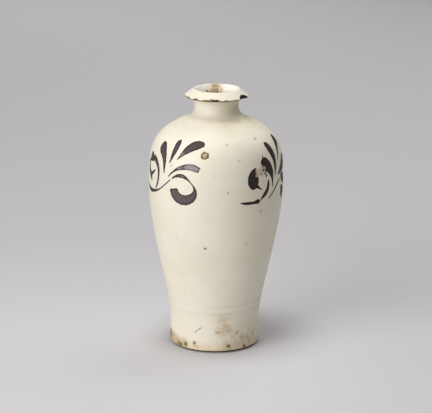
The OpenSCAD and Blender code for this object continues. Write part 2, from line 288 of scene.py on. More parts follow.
def wall_radius(height):
    """The skin's radius at a height, from the foot to the underside of the lip"""
    above = min(max(bisect.bisect(WALL_HEIGHTS, height), 1), len(WALL) - 1)
    low, high = WALL[above - 1], WALL[above]
    return low.x + (high.x - low.x) * (height - low.y) / (high.y - low.y)


def wall_normal(height):
    """The skin's normal at a height, as (outwards, upwards)"""
    step = 0.5 * MM
    widening = wall_radius(height + step) - wall_radius(height - step)
    return Vector((2 * step, -widening)).normalized()


def facing(azimuth):
    """The level direction of an azimuth"""
    return Vector((math.sin(math.radians(azimuth)), -math.cos(math.radians(azimuth)), 0))


def azimuth_of(place):
    """The azimuth in which a place lies, seen from the axis"""
    return math.degrees(math.atan2(place.x, -place.y))


def apart(azimuth, other):
    """The angle between two azimuths, from -180 to 180"""
    return (azimuth - other + 180) % 360 - 180


def on_wall(azimuth, height, off=0.0):
    """A place on the vase's wall, or off it by some distance"""
    normal = wall_normal(height)
    out = wall_radius(height) + off * normal.x
    return facing(azimuth) * out + Vector((0, 0, height + off * normal.y))


def in_mouth(azimuth, height):
    """A place on the mouth's funnel"""
    point = min(MOUTH_LINE, key=lambda point: abs(point.y - height))
    return facing(azimuth) * point.x + Vector((0, 0, point.y))


def outward(place):
    """The direction in which the wall faces at a place"""
    normal = wall_normal(place.z)
    return facing(azimuth_of(place)) * normal.x + Vector((0, 0, normal.y))


def smooth(share):
    """0 below 0 and 1 above 1, and smooth between"""
    share = min(max(share, 0), 1)
    return share * share * (3 - 2 * share)


def hump(distance, half_width):
    """1 at a distance of nought, falling smoothly to 0 at the half width"""
    return smooth(1 - abs(distance) / half_width)


def ripple(place, size, across=1.0):
    """Noise from -1 to 1, with waves about a size long; across below 1 draws them out into rings"""
    return noise.noise(Vector((place.x * across, place.y * across, place.z)) / size)


# Two rings low on the body: height, width and depth
TOOL_RINGS = ((36.2 * MM, 1.1 * MM, 0.08 * MM), (43.1 * MM, 1 * MM, 0.035 * MM))


def relief(place):
    """How far the skin stands off its true line: the thrower's rings and an uneven hand"""
    look = settings().glaze
    swell = ripple(place, 42 * MM) * look.unevenness
    rings = ripple(place, 5.5 * MM, 0.12) + 0.5 * ripple(place, 2.4 * MM, 0.1)
    cut = sum(depth * hump(place.z - height, width) for height, width, depth in TOOL_RINGS)
    return swell + rings * look.ring_depth - cut * (0.75 + 0.5 * ripple(place, 30 * MM))


# Where the lip's edge is worn brown: from one azimuth to another, and how high the wear climbs
LIP_WEAR = ((-94, -54, 1.8), (-62, 44, 1.45), (-49, -34, 2), (-27, 9, 2.3), (-15, -3, 3),
            (11, 25, 2.1), (72, 97, 1), (118, 129, 1.5), (140, 178, 0.9), (-172, -150, 1.6),
            (-128, -100, 0.9))
# Nicks in the mouth's crest: azimuth, radius of the scoop and its depth
CREST_NICKS = ((-139, 5, 0.34), (-88, 3.5, 0.34), (24, 3, 0.2), (103, 4, 0.3), (165, 2.5, 0.22))


def lip_wear(azimuth):
    """How high the brown wear climbs the lip's edge at an azimuth"""
    climb = 0.0
    for start, end, height in LIP_WEAR:
        half = (end - start) / 2
        inside = half - abs(apart(azimuth, (start + end) / 2))
        climb = max(climb, height * MM * smooth(inside / 4))
    return climb


class Chip:
    """A scoop that a knock took out of the lip"""

    def __init__(self, azimuth, radius, depth, drop, dark):
        self.dark = dark
        self.way = facing(azimuth)
        self.radius = radius * MM
        out = LIP_R + (radius - depth) * MM
        self.centre = self.way * out + Vector((0, 0, LIP_EDGE_Z - drop * MM))

    def inside(self, place):
        """How deep a place lies inside the scoop; outside it, the result is negative"""
        return self.radius - (place - self.centre).length

    def pushed(self, place, proud, rough):
        """A place inside the scoop moved back onto it, but a little proud of it, and unevenly"""
        near = place - self.centre
        reach = self.radius - proud
        if near.length >= reach:
            return place
        along = near.dot(self.way)
        across = near - along * self.way
        travel = along + math.sqrt(reach * reach - across.length_squared)
        if across.z < 0:
            across.z *= 1 - min(0.6, 0.15 * travel / MM)
            travel = along + math.sqrt(reach * reach - across.length_squared)
        lump = rough * (0.5 + 0.5 * ripple(place - travel * self.way, 1.3 * MM))
        return self.centre + across + (along - travel + min(travel, lump)) * self.way


CHIPS = [Chip(*chip) for chip in LIP_CHIPS]
# The scoops of the nicks in the crest: each one's centre and radius
NICKS = [(facing(azimuth) * CREST_R + Vector((0, 0, TOP_Z + (radius - depth) * MM)), radius * MM)
         for azimuth, radius, depth in CREST_NICKS]


def spun(lines, steps):
    """A turned form: lines of (radius, height) and their marks, joined and spun round the axis"""
    form = bmesh.new()
    mark = form.verts.layers.float.new("zone")
    row = []
    for points, zone in lines:
        for point in points:
            corner = form.verts.new((point.x, 0, point.y))
            corner[mark] = zone
            row.append(corner)
    for first, second in zip(row, row[1:]):
        form.edges.new((first, second))
    if row[0].co.x > WELD:
        form.edges.new((row[-1], row[0]))
    bmesh.ops.spin(form, geom=form.verts[:] + form.edges[:], cent=(0, 0, 0), axis=(0, 0, 1),
                   dvec=(0, 0, 0), angle=math.tau, steps=steps, use_merge=True,
                   use_normal_flip=False, use_duplicate=False)
    bmesh.ops.remove_doubles(form, verts=form.verts, dist=WELD)
    bmesh.ops.recalc_face_normals(form, faces=form.faces)
    return form


def refine(form, near, cuts):
    """Divides the faces all of whose corners pass a test"""
    faces = [f for f in form.faces if all(near(v) for v in f.verts)]
    edges = list({e: None for f in faces for e in f.edges})
    bmesh.ops.subdivide_edges(form, edges=edges, cuts=cuts, use_grid_fill=True)
    form.normal_update()


def settle(form, name, node, finish, crease=42):
    """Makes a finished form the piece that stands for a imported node"""
    mesh = bpy.data.meshes.new(name)
    form.to_mesh(mesh)
    form.free()
    mesh.shade_smooth()
    mesh.set_sharp_from_angle(angle=math.radians(crease))
    mesh.materials.append(finish)
    piece = bpy.data.objects.new(name, mesh)
    bpy.context.scene.collection.objects.link(piece)
    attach(piece, BODY)
    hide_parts(node)


class Wire:
    """A node's output. Expressions on wires add the Math nodes that work them out."""

    def __init__(self, tree, socket):
        self.tree = tree
        self.socket = socket

    def maths(self, operation, *values):
        """Adds a Math node"""
        return self.tree.node("ShaderNodeMath", dict(enumerate(values)), operation=operation)

    def __add__(self, other):
        return self.maths("ADD", self, other)

    def __radd__(self, other):
        return self.maths("ADD", other, self)

    def __sub__(self, other):
        return self.maths("SUBTRACT", self, other)

    def __rsub__(self, other):
        return self.maths("SUBTRACT", other, self)

    def __mul__(self, other):
        return self.maths("MULTIPLY", self, other)

    def __rmul__(self, other):
        return self.maths("MULTIPLY", other, self)

    def most(self, other):
        """The greater of the two"""
        return self.maths("MAXIMUM", self, other)

    def ramp(self, low, high):
        """0 at low and 1 at high, and smooth between; low may be the greater of the two"""
        ends = (0.0, 1.0) if low < high else (1.0, 0.0)
        values = {0: self, 1: min(low, high), 2: max(low, high), 3: ends[0], 4: ends[1]}
        return self.tree.node("ShaderNodeMapRange", values, interpolation_type="SMOOTHSTEP",
                              clamp=True)


class Tree:
    """A node tree being made"""

    def __init__(self, owner):
        owner.use_nodes = True
        self.tree = owner.node_tree
        self.tree.nodes.clear()

    def node(self, kind, inputs=None, output=0, **choices):
        """Adds a node: its choices first, and then its sockets' values or wires"""
        made = self.tree.nodes.new(kind)
        for name, value in choices.items():
            setattr(made, name, value)
        for key, value in (inputs or {}).items():
            self.feed(made.inputs[key], value)
        return Wire(self, made.outputs[output]) if made.outputs else None

    def feed(self, socket, value):
        """Links a wire to a socket, or sets its value"""
        if isinstance(value, Wire):
            self.tree.links.new(value.socket, socket)
        elif socket.type == "RGBA" and len(value) == 3:
            socket.default_value = (*value, 1.0)
        else:
            socket.default_value = value


class Finish(Tree):
    """A material being made: a Principled shader and the nodes that feed it

    Its noises and measures read the object's own coordinates. Their lengths are millimetres."""

    def __init__(self, name):
        self.material = bpy.data.materials.new(name)
        super().__init__(self.material)
        self.shader = self.tree.nodes.new("ShaderNodeBsdfPrincipled")
        self.node("ShaderNodeOutputMaterial", {"Surface": Wire(self, self.shader.outputs[0])})
        self.here = self.node("ShaderNodeTexCoord", output="Object")

    def mix(self, factor, a, b):
        """A colour between two, by a factor from 0 to 1"""
        return self.node("ShaderNodeMix", {0: factor, 6: a, 7: b}, output=2, data_type="RGBA")

    def stretched(self, stretch):
        """The coordinates, multiplied along each axis"""
        return self.node("ShaderNodeMapping", {"Vector": self.here, "Scale": stretch})

    def grain(self, size, detail=2.0, roughness=0.5, stretch=None):
        """Noise from 0 to 1, whose features are about so many millimetres across"""
        values = {"Vector": self.stretched(stretch) if stretch else self.here,
                  "Scale": 1 / (size * MM), "Detail": detail, "Roughness": roughness}
        return self.node("ShaderNodeTexNoise", values, output="Fac")

    def vector(self, operation, place, other):
        """A number from two vectors, in millimetres"""
        ends = {0: place, 1: other}
        return self.node("ShaderNodeVectorMath", ends, output="Value", operation=operation) * 1000

    def distance(self, other):
        """How far it is to a place"""
        return self.vector("DISTANCE", self.here, other)

    def height(self):
        """Height above the table"""
        return self.vector("DOT_PRODUCT", self.here, (0, 0, 1))

    def towards(self, azimuth):
        """How far it is from the axis, towards an azimuth"""
        return self.vector("DOT_PRODUCT", self.here, facing(azimuth))

    def mark(self, name):
        """A value kept on the mesh's vertices"""
        return self.node("ShaderNodeAttribute", output="Fac", attribute_name=name)

    def strongest(self, wander, marks, seat, share):
        """The greatest share that any mark has here

        A mark is azimuth, height, radius and strength. Its share is worked out from the distance to
        its middle and from its radius, and goes with its strength."""
        greatest = None
        for azimuth, height, radius, strength in marks:
            far = self.distance(seat(azimuth, height * MM)) + wander * radius
            here = share(far, radius) * strength
            greatest = greatest.most(here) if greatest else here
        return greatest

    def nearness(self, wander, marks):
        """How near it is to some marks on the wall: 2/3 at a strong one's edge"""
        return self.strongest(wander, marks, on_wall,
                              lambda far, radius: 1 - far * (1 / (3 * radius)))

    def spots(self, wander, marks, seat=on_wall):
        """A mask of small marks, which are soft at their edges"""
        return self.strongest(wander, marks, seat,
                              lambda far, radius: far.ramp(radius * 1.15, radius * 0.55))

    def scratch(self, start, end, width):
        """A mask of a thin line between two places"""
        along = end - start
        values = {"Vector": self.here, "Location": (start + end) / 2,
                  "Rotation": along.to_track_quat("X", "Z").to_euler(),
                  "Scale": (along.length / 2, width * MM, width * MM)}
        own = self.node("ShaderNodeMapping", values, vector_type="TEXTURE")
        far = self.node("ShaderNodeVectorMath", {0: own}, output="Value", operation="LENGTH")
        return far.ramp(1, 0.4)

    def bump(self, height, depth, strength=1.0):
        """A bump that is so many millimetres deep"""
        values = {"Height": height, "Distance": depth * MM, "Strength": strength}
        return self.node("ShaderNodeBump", values)

    def finished(self, **sockets):
        """Feeds the shader's sockets and gives the material"""
        for name, value in sockets.items():
            socket = name.replace("_", " ").title().replace("Ior", "IOR")
            self.feed(self.shader.inputs[socket], value)
        return self.material


# Marks in the glaze: azimuth, height and radius in millimetres, and strength
PINHOLES = ((-63.8, 202.6, 1.3, 0.4), (15.6, 202.9, 1, 0.45), (45.5, 192.8, 1, 0.6),
            (10.8, 190.5, 1.1, 0.5), (-2.7, 180, 0.8, 0.35), (20.6, 177.8, 0.9, 0.5),
            (-0.7, 164.1, 1, 0.3), (10.2, 150.9, 0.7, 0.6), (42, 131.4, 1, 0.6),
            (-36.9, 107.5, 0.9, 0.4), (29.7, 102.3, 0.9, 0.55), (-9.2, 99.9, 0.7, 0.95),
            (9.9, 64, 0.8, 0.4), (-48.2, 28.9, 1.1, 0.3), (-38.6, 26.7, 1, 0.25),
            (118, 171, 0.9, 0.6), (147, 128, 1, 0.7), (-120, 142, 1, 0.5), (-151, 96, 0.8, 0.8),
            (158, 68, 0.9, 0.5), (96, 55, 0.9, 0.6), (-104, 188, 1, 0.5), (170, 206, 0.9, 0.6),
            (-88, 70, 0.8, 0.5))
FOOT_PITS = ((-26.2, 8.1, 1.1, 1), (-26, 6.1, 1, 0.6), (-21.8, 5.1, 0.9, 0.7), (18.1, 6.4, 1.2, 1),
             (19.4, 4.7, 1, 0.8), (41.3, 3.7, 1.2, 1), (-15.7, 5.2, 0.8, 0.4),
             (3.5, 4.9, 0.8, 0.4), (-39.6, 5.2, 1.7, 1), (-53.2, 4.1, 1.6, 0.9),
             (-48.1, 3.6, 1.6, 1), (98, 7, 1.3, 0.9), (126, 5, 1, 0.8), (131, 6.5, 1.4, 1),
             (-141, 6, 1.2, 0.9), (-128, 4.6, 1.5, 1), (171, 5, 1.1, 0.9))
SMUDGES_AND_NECK_SHADE = ((3.9, 19.2, 1.3, 0.6), (7, 19.8, 1.7, 0.5), (11.3, 21.5, 3.4, 0.5),
           (14.9, 24, 2.6, 0.5), (17.8, 21, 2.3, 0.6), (12.6, 26.8, 2.6, 0.45),
           (13.2, 25, 0.9, 0.75), (16, 25.4, 0.9, 0.65), (17.5, 22.8, 0.8, 0.6), (9, 30, 3.2, 0.4),
           (14.5, 31.5, 2.8, 0.36), (30.1, 17.6, 1.2, 0.65), (37.7, 12.5, 1.6, 0.6),
           (46.4, 11.2, 1.2, 0.7), (39.5, 8.5, 2.4, 0.4), (50.5, 7.6, 1.4, 0.6),
           (59.2, 12.5, 1.3, 0.5), (22.9, 13.3, 1.6, 0.25), (34.7, 7.3, 1.8, 0.35),
           (18.4, 6, 3.6, 0.4), (-41.5, 6.4, 3, 0.5), (-26, 6.8, 2.2, 0.35), (-50.5, 4, 2.8, 0.6),
           # The first two marks on the line below are painted shade, which the neck and lip cast on
           # the shoulder
           (74, 203, 5, 0.3), (66, 203.5, 3.5, 0.25), (104, 12, 4, 0.4), (138, 16, 3, 0.4),
           (-133, 9, 5, 0.45), (160, 24, 3, 0.3), (-96, 20, 3, 0.35))
# Scratches that dirt has darkened: azimuth and height of the two ends, width and strength
SCRATCHES = ((-27, 17.6, -21, 20.6, 0.7, 0.85), (-22.4, 19.8, -15.6, 23.9, 0.55, 1),
             (20.4, 188.7, 32.6, 193.7, 0.3, 0.3), (126, 92, 133, 96, 0.4, 0.5),
             (-150, 151, -143, 149, 0.3, 0.4))
PAINT_SPLASHES = ((44.9, 177.6, 1.1, 1), (44.8, 179, 0.7, 0.9), (45.3, 180.1, 0.5, 0.7),
                  (-43.7, 173.4, 0.8, 0.4), (-41.6, 170.6, 1, 0.5), (-40.9, 172, 0.7, 0.35))
# Brown streaks down the mouth's far wall
MOUTH_STREAKS = ((210, 224.6, 1.1, 0.9), (207, 223, 1, 0.8), (198, 225, 0.7, 0.6),
                 (178, 225.8, 0.7, 0.6), (178, 224.4, 0.9, 0.95), (178, 222.8, 1, 0.95),
                 (165, 226.2, 0.7, 0.6), (165, 225, 0.9, 0.8), (166, 223.6, 0.8, 0.8),
                 (189, 228.6, 0.8, 0.6), (186, 227, 0.7, 0.5), (143, 224.2, 0.9, 0.35))
# The worn patch by the right sprig: where pigment and glaze have rubbed off to tan, and the brown
# specks in it
RUBBED = ((37, 168, 2.2, 0.9), (38.3, 165.4, 2.9, 1), (36.8, 163.4, 1.7, 0.9),
          (41.6, 170.2, 2.3, 0.8), (41, 167.4, 2.6, 0.9), (43.7, 165, 2.5, 0.9),
          (43, 162.3, 1.7, 0.7), (45.2, 168.8, 2, 0.7))
RUBBED_SPECKS = ((41.4, 164.1, 1.1, 0.95), (44.1, 167.3, 1.4, 1), (46.4, 164.4, 1.6, 0.9),
                 (47.6, 162, 1.5, 1), (47.1, 166.2, 1.1, 0.9), (39.6, 167.2, 0.7, 0.7),
                 (42.6, 165.8, 0.8, 0.6))

# About how far apart the small pinholes are, in millimetres
SMALL_HOLE_GAP = 17
# Tones of the glaze where it isn't clean, and of painted shade
GREYED = (0.62, 0.56, 0.42)
GREENISH = (0.72, 0.68, 0.45)
PEACH = (0.77, 0.6, 0.38)
TOASTED = (0.58, 0.41, 0.22)
SCORCHED = (0.11, 0.065, 0.03)
MOTTLED = (0.48, 0.34, 0.18)
SPECKLED = (0.28, 0.19, 0.1)
# Painted shade in the two rings low on the body
RING_SHADE = (0.42, 0.36, 0.26)
# Painted shade with an olive tint, for the neck's right side
NECK_SHADE_TINT = (0.74, 0.68, 0.47)
# Also the tone of the painted shade at the right foot of the neck
SMUDGE_AND_SHADE_TONE = (0.5, 0.36, 0.19)
SCRATCH = (0.14, 0.11, 0.07)
PIT_HALO = (0.42, 0.345, 0.12)
PIT = (0.085, 0.067, 0.022)
HOLE_HALO = (0.5, 0.42, 0.2)
HOLE = (0.13, 0.095, 0.05)
SMALL_HOLE = (0.13, 0.095, 0.06)
DUST = (0.3, 0.24, 0.16)
SPLASH = (0.09, 0.07, 0.065)
# Tones in the mouth
# Painted light: a pale tone laid over the whole inside of the mouth
MOUTH_PAINTED_LIGHT = (0.96, 0.91, 0.82)
PALE_STAIN = (0.85, 0.68, 0.47)
OCHRE = (0.43, 0.31, 0.13)
# A darker tone deeper down the mouth
DEEP_MOUTH_TONE = (0.36, 0.27, 0.17)


def clay_tones(clay, colour):
    """Sandy fired clay: clouds, dark iron specks and pale grains; also the clouds and the grains"""
    cloud = clay.grain(13, detail=4)
    sand = clay.grain(0.7, detail=3)
    specks = clay.grain(1.7, detail=1).ramp(0.66, 0.73)
    tone = clay.mix(cloud.ramp(0.35, 0.7) * 0.8, colour, [0.55 * c for c in colour])
    tone = clay.mix(specks * 0.6, tone, [0.165 * c for c in colour])
    tone = clay.mix(sand.ramp(0.52, 0.8) * 0.3, tone, [min(1, 1.6 * c) for c in colour])
    return tone, cloud, sand


def clay_finish(name, colour):
    """Bare fired stoneware or slip"""
    clay = Finish(name)
    tone, cloud, sand = clay_tones(clay, colour)
    return clay.finished(base_color=tone, roughness=cloud * 0.2 + 0.72,
                         normal=clay.bump(sand + cloud * 0.5, 0.25, 0.6))


def foot_finish():
    """The turned foot: buff clay within, burnt dark round the edge that the flame reached"""
    look = settings().clay
    clay = Finish("turned_foot_clay")
    tone, cloud, sand = clay_tones(clay, look.colour)
    from_axis = clay.vector("DISTANCE", clay.stretched((1, 1, 0)), (0, 0, 0))
    burnt = (from_axis + clay.grain(6, detail=3) * 5).ramp(38.5, 41.5)
    black = (clay.towards(60) + clay.grain(9) * 14).ramp(10, 30)
    ash = clay.grain(2.5, detail=3).ramp(0.55, 0.72)
    edge = clay.mix(black, (0.13, 0.08, 0.035), look.burnt_colour)
    tone = clay.mix(burnt, tone, clay.mix(ash * 0.45, edge, look.colour))
    scratch = clay.grain(1.4, detail=3, stretch=(1, 1, 6))
    return clay.finished(base_color=tone, roughness=cloud * 0.2 + 0.7,
                         normal=clay.bump(sand + scratch * 0.6, 0.25, 0.7))


def worn_patch(finish, wander, tone):
    """Rubs a tone down to tan and brown in the worn patch"""
    rubbed = finish.spots(wander * 1.6, RUBBED)
    mottle = finish.grain(1.4, detail=3, roughness=0.65).ramp(0.4, 0.58)
    tone = finish.mix(rubbed * 0.95, tone, finish.mix(mottle, (0.47, 0.34, 0.2), (0.8, 0.67, 0.5)))
    return finish.mix(finish.spots(wander * 1.4, RUBBED_SPECKS), tone, (0.12, 0.075, 0.03))


class GlazeFinish(Finish):
    """Cream glaze with faint clouds and streaks, pinholes, stains in the mouth, and wear"""

    def __init__(self):
        super().__init__("cream_glaze")
        self.look = settings().glaze
        self.up = self.height()
        self.cloud = self.grain(42, detail=3)
        self.curdle = self.grain(4.5, detail=4, roughness=0.6)
        self.streak = self.grain(2.4, detail=3, stretch=(0.1, 0.1, 1))
        self.fine = self.grain(1.1, detail=3, roughness=0.6)
        self.wander = self.grain(1.6, detail=3) - 0.5
        # The slow and the quick noise about nought, which make an edge uneven
        self.drift = self.cloud - 0.5
        self.jitter = self.curdle - 0.5

    def clean(self):
        """The clean coat: thinner in clouds, greyer in streaks, and a little green in patches"""
        thin = self.look.thin_colour
        tone = self.mix(self.cloud.ramp(0.4, 0.68) * 0.3, self.look.colour, thin)
        tone = self.mix(self.streak.ramp(0.48, 0.75) * 0.1, tone, thin)
        tone = self.mix(self.curdle.ramp(0.55, 0.8) * 0.12, tone, GREYED)
        green = self.grain(11, detail=3, roughness=0.6).ramp(0.55, 0.75)
        return self.mix(green * self.cloud.ramp(0.62, 0.4) * 0.3, tone, GREENISH)

    def foot(self, tone):
        """Thin glaze low on the body: peach, and brown to black where the flame reached it"""
        low = (self.up + self.drift * 8 + self.jitter * 6).ramp(11, 5)
        tone = self.mix(low * self.curdle.ramp(0.3, 0.52) * 0.6, tone, PEACH)

        left = self.towards(-84)
        burnt = (left - self.up * 0.3 + self.jitter * 10 + self.drift * 8).ramp(27, 33)
        burnt = burnt * (self.up + self.jitter * 8).ramp(15, 8)
        tone = self.mix(burnt * 0.75, tone, TOASTED)
        scorched = (left + self.jitter * 14 + self.drift * 8 + self.wander * 3).ramp(35.5, 40.5)
        scorched = scorched * (self.up + self.jitter * 6 + self.wander * 4).ramp(14.5, 10)
        tone = self.mix(scorched * self.up.ramp(1, 8) * 0.85, tone, SCORCHED)

        right = (self.towards(62) + self.jitter * 14).ramp(16, 34)
        right = right * (self.up + self.cloud * 12).ramp(34, 16)
        tone = self.mix(right * self.curdle.ramp(0.36, 0.6) * 0.36, tone, MOTTLED)
        return self.mix(right * self.fine.ramp(0.56, 0.68) * 0.45, tone, SPECKLED)

    def rings(self, tone):
        """Painted shade in the two rings low on the body"""
        for height, width, _ in TOOL_RINGS:
            off = self.up + self.drift * 1.2 - height / MM
            line = (off * off).ramp((1.7 * width / MM) ** 2, 0)
            tone = self.mix(line * self.cloud.ramp(0.35, 0.6) * 0.18, tone, RING_SHADE)
        return tone

    def neck(self, tone):
        """Painted shade, with an olive tint, on the neck's right side below the lip"""
        neck_shade = (self.towards(70) + self.jitter * 6).ramp(4, 18) * self.up.ramp(194, 205)
        return self.mix(neck_shade * self.up.ramp(226, 223) * 0.6, tone, NECK_SHADE_TINT)

    def dirt(self, tone):
        """Smudges, painted shade at the right foot of the neck, and scratches that dirt has darkened
        """
        smudged_and_shaded = self.nearness(self.wander * 2.2 + self.jitter * 3, SMUDGES_AND_NECK_SHADE)
        tone = self.mix(smudged_and_shaded.ramp(0.02, 0.8), tone, SMUDGE_AND_SHADE_TONE)
        for start, low_end, end, high_end, width, strength in SCRATCHES:
            ends = on_wall(start, low_end * MM), on_wall(end, high_end * MM)
            tone = self.mix(self.scratch(*ends, width) * strength, tone, SCRATCH)
        return tone

    def pits(self, tone):
        """Pits at the foot, each in a brown halo; also a mask of them"""
        near = self.nearness(self.wander, FOOT_PITS)
        tone = self.mix((near + self.jitter * 0.5).ramp(0.2, 0.62) * 0.55, tone, PIT_HALO)
        mask = near.ramp(0.58, 0.78)
        return self.mix(mask * 0.95, tone, PIT), mask

    def pinholes(self, tone):
        """Large and small pinholes, and specks of dust; also a mask of the large holes"""
        near = self.nearness(self.wander, PINHOLES)
        tone = self.mix((near + self.jitter * 0.3).ramp(0.05, 0.5) * 0.22, tone, HOLE_HALO)
        mask = near.ramp(0.22, 0.75)
        tone = self.mix(mask * 0.9, tone, HOLE)
        cells = {"Vector": self.here, "Scale": 1 / (SMALL_HOLE_GAP * MM)}
        from_hole = self.node("ShaderNodeTexVoronoi", cells, output="Distance") * SMALL_HOLE_GAP
        small = (from_hole + self.wander).ramp(0.55, 0.25) * self.cloud.ramp(0.42, 0.5)
        tone = self.mix(small * 0.55, tone, SMALL_HOLE)
        dust = self.fine.ramp(0.7, 0.78) * self.curdle.ramp(0.45, 0.6)
        return self.mix(dust * 0.22, tone, DUST), mask

    def mouth(self, tone):
        """Painted light that pales the whole mouth, a tone that darkens deeper down it, and ochre and
        brown stains that run down its far wall
        """
        inside = self.mark("zone").ramp(1.4, 1.6)
        run = self.grain(1.5, detail=3, stretch=(1, 1, 0.25))
        # Painted light: the whole mouth is paled
        tone = self.mix(inside * 0.95, tone, MOUTH_PAINTED_LIGHT)
        stain = self.distance(in_mouth(184, TOP_Z - 2.6 * MM)) + self.jitter * 5
        tone = self.mix(stain.ramp(11, 5) * inside * 0.55, tone, PALE_STAIN)
        tone = self.mix(stain.ramp(5.6, 2.4) * run.ramp(0.25, 0.5) * inside * 0.95, tone, OCHRE)
        # Darker deeper down the mouth, most on its left wall
        top = TOP_Z / MM
        deep = (self.up + self.wander * 2).ramp(top - 4.8, top - 6.6) * inside
        deep_left = self.towards(-90).ramp(-12, 8) * 0.75 + 0.2
        tone = self.mix(deep * deep_left * run.ramp(0.2, 0.5), tone, DEEP_MOUTH_TONE)
        streaks = self.spots(self.wander * 1.2, MOUTH_STREAKS, in_mouth)
        return self.mix(streaks * inside, tone, self.look.stain_colour)

    def flake(self, tone):
        """The spot where the glaze has flaked off: tan clay in a brown edge; also a mask of it"""
        ragged = (self.grain(2.6, detail=3, roughness=0.6) - 0.5) * 4 + self.wander
        away = self.distance(on_wall(FLAKE_TURN, FLAKE_Z)) + ragged
        half = FLAKE_W / 2 / MM
        mask = away.ramp(half + 0.2, half - 0.3)
        rim = (away + (self.fine - 0.5) * 2).ramp(1.6, 2.5)
        bare_clay = self.mix(self.fine.ramp(0.42, 0.6), (0.38, 0.27, 0.13), (0.84, 0.7, 0.48))
        return self.mix(mask, tone, self.mix(rim * 0.92, bare_clay, (0.12, 0.08, 0.03))), mask

    def lip(self, tone):
        """Brown where the lip's edge is worn, and bare clay in its chips, darkened to near black by
        painted shade deeper in; also masks of both
        """
        worn = (self.mark("edge_wear") + self.wander * 0.8).ramp(0.0, 0.3)
        worn_tone = self.mix(self.curdle.ramp(0.4, 0.62), (0.085, 0.058, 0.024), (0.31, 0.22, 0.11))
        tone = self.mix(worn * 0.95, tone, worn_tone)
        depth = self.mark("chip") + self.wander * 0.5
        broken = depth.ramp(0.0, 0.12)
        # Painted shade: the clay darkens to near black deeper in the chip
        dark = (depth + self.fine * 0.5).ramp(0.3, 0.9)
        chip_clay_and_shade = self.mix(dark, (0.24, 0.165, 0.09), (0.026, 0.018, 0.013))
        return self.mix(broken, tone, chip_clay_and_shade), worn, broken

    def fired(self):
        """The whole glaze, from the clean coat to the wear on it"""
        tone = self.neck(self.rings(self.foot(self.clean())))
        tone, pits = self.pits(self.dirt(tone))
        tone, holes = self.pinholes(tone)
        tone = worn_patch(self, self.wander, self.mouth(tone))
        splashes = self.spots(self.wander, PAINT_SPLASHES)
        tone, flaked = self.flake(self.mix(splashes, tone, SPLASH))
        tone, worn, broken = self.lip(tone)

        bare = broken.most(flaked).most(worn).most(pits)
        roughness = (self.curdle * 0.14 + (self.look.roughness - 0.05)) * (1 - bare) + bare * 0.8
        skin = self.grain(2.2, detail=3) * 0.5 + self.streak * 0.5 + bare * self.fine * 3
        skin = self.bump(skin - holes - pits * 1.5, 0.12, 0.5)
        return self.finished(base_color=tone, roughness=roughness, normal=skin)


def paint_finish():
    """Brown-black pigment: dark where it pooled along the strokes' edges, thinner within"""
    look = settings().paint
    paint = Finish("brushed_pigment")
    cloud = paint.grain(5.5, detail=4, roughness=0.6)
    bristle = paint.grain(0.9, detail=3, roughness=0.6)
    inner = (paint.mark("edge") + (cloud - 0.5) * 1.2).ramp(0.55, 1.9)
    tone = paint.mix((cloud.ramp(0.32, 0.66) * 0.6 + 0.4) * inner, look.colour, look.thin_colour)
    tone = paint.mix(bristle.ramp(0.55, 0.8) * 0.25, tone, look.thin_colour)
    dry = paint.mark("pale") * (0.6 + inner * 0.5) + (bristle - 0.5) * 0.5
    tone = paint.mix(dry.ramp(0.12, 0.95), tone, look.pale_colour)
    pits = paint.grain(0.7, detail=1).ramp(0.72, 0.78)
    tone = paint.mix(pits * 0.35, tone, (0.4, 0.34, 0.28))
    tone = worn_patch(paint, paint.grain(1.6, detail=3) - 0.5, tone)
    return paint.finished(base_color=tone, roughness=cloud * 0.16 + 0.4, specular_ior_level=0.22,
                          normal=paint.bump(cloud + bristle * 0.3, 0.06, 0.4))


class VASE_OT_glaze(bpy.types.Operator):
    """Lays the glaze: one thin shell over the vase, with the lip's chips and the flaked spot"""
    bl_idname = "vase.glaze"
    bl_label = "Glaze"

    def execute(self, context):
        lines = (OUTER_LINE, 1.0), (MOUTH_LINE, 2.0), (BACK_LINE, 0.0)
        form = spun(lines, settings().glaze.steps)
        zone = form.verts.layers.float["zone"]
        flake = on_wall(FLAKE_TURN, FLAKE_Z)
        refine(form, lambda v: v[zone] > 0.5 and (v.co - flake).length < FLAKE_W / 2 + 2 * MM, 3)
        refine(form, lambda v: max(chip.inside(v.co) for chip in CHIPS) > -1.2 * MM, 1)
        chip_mark = form.verts.layers.float.new("chip")
        wear_mark = form.verts.layers.float.new("edge_wear")
        for v in form.verts:
            place = v.co.copy()
            outer = v[zone] > 0.5
            broken = [chip.inside(place) * chip.dark / MM for chip in CHIPS] + [-3.0]
            v[wear_mark] = self.edge_wear(place) if outer else -3.0
            if outer:
                broken += [(radius - (place - nick).length) / MM - 0.1 for nick, radius in NICKS]
                place += v.normal * (relief(place) - self.flaked(place, flake))
                for nick, radius in NICKS:
                    off = place - nick
                    place = nick + off * max(1, radius / off.length)
            v[chip_mark] = max(broken)
            # Behind the skin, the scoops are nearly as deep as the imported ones, and even
            proud, rough = (0.1 * MM, 0.35 * MM) if outer else (0.02 * MM, 0)
            for chip in CHIPS:
                place = chip.pushed(place, proud, rough)
            v.co = place
        settle(form, "glaze_skin", "slip_and_glaze", GlazeFinish().fired())
        return {"FINISHED"}

    def edge_wear(self, place):
        """How far inside the worn part of the lip's edge a place lies, in millimetres"""
        if place.xy.length < LIP_R - 4 * MM or place.z < LIP_UNDER_Z - 2 * MM:
            return -3.0
        up = place.z - LIP_UNDER_Z
        return (lip_wear(azimuth_of(place)) - max(up, -2 * up)) / MM - 0.25

    def flaked(self, place, flake):
        """How deep the flaked spot is at a place"""
        edge = FLAKE_W / 2 - (place - flake).length + 0.4 * MM * ripple(place, 2.2 * MM)
        return FLAKE_DEPTH * smooth(edge / (0.8 * MM))


